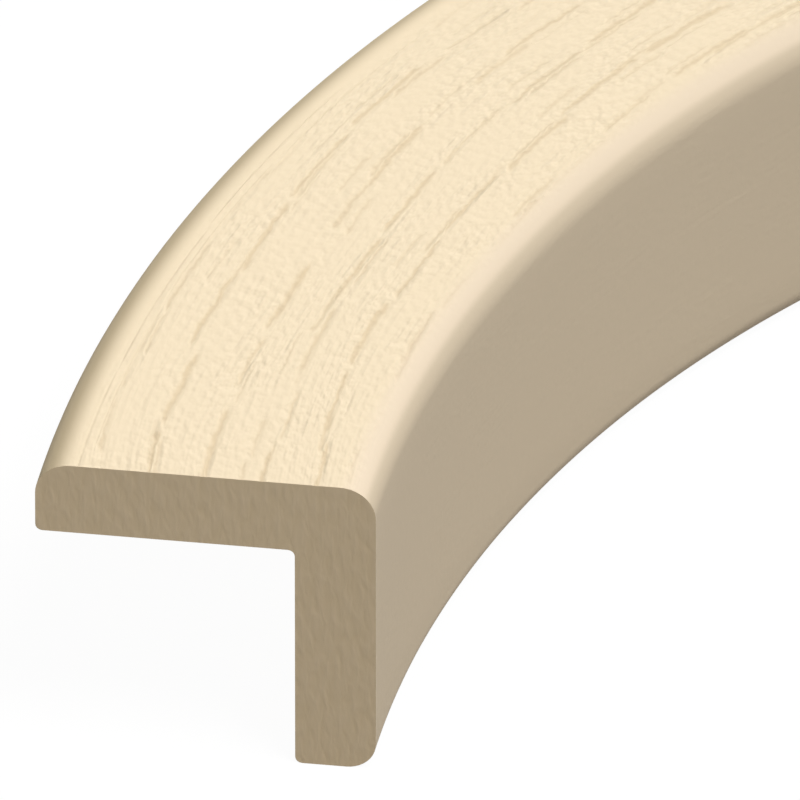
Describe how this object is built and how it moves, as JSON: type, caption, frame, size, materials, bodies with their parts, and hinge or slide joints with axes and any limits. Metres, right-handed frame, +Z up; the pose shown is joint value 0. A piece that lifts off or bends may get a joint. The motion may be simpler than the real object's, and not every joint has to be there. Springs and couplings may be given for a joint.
{
  "type": "arched corner moulding",
  "caption": "Arched corner moulding: an angle-section trim with a rounded ridge, bent to nearly a half turn to cover the corner where a wall meets a curved opening.",
  "frame": {"origin": "middle of the underside of the bounding box, on the level that the reveal leg stands on", "axes": "+Z up, out of the grained face; +Y from the open side of the arch towards its crown; X along the span between the two sawn ends"},
  "size_m": [0.297, 0.143, 0.0286],
  "materials": {
    "grained_polymer": "solid cream polymer with an embossed wood grain on the face flange and a smooth reveal leg"
  },
  "bodies": {
    "root": {"corner_moulding": "grained_polymer"}
  },
  "joints": []
}
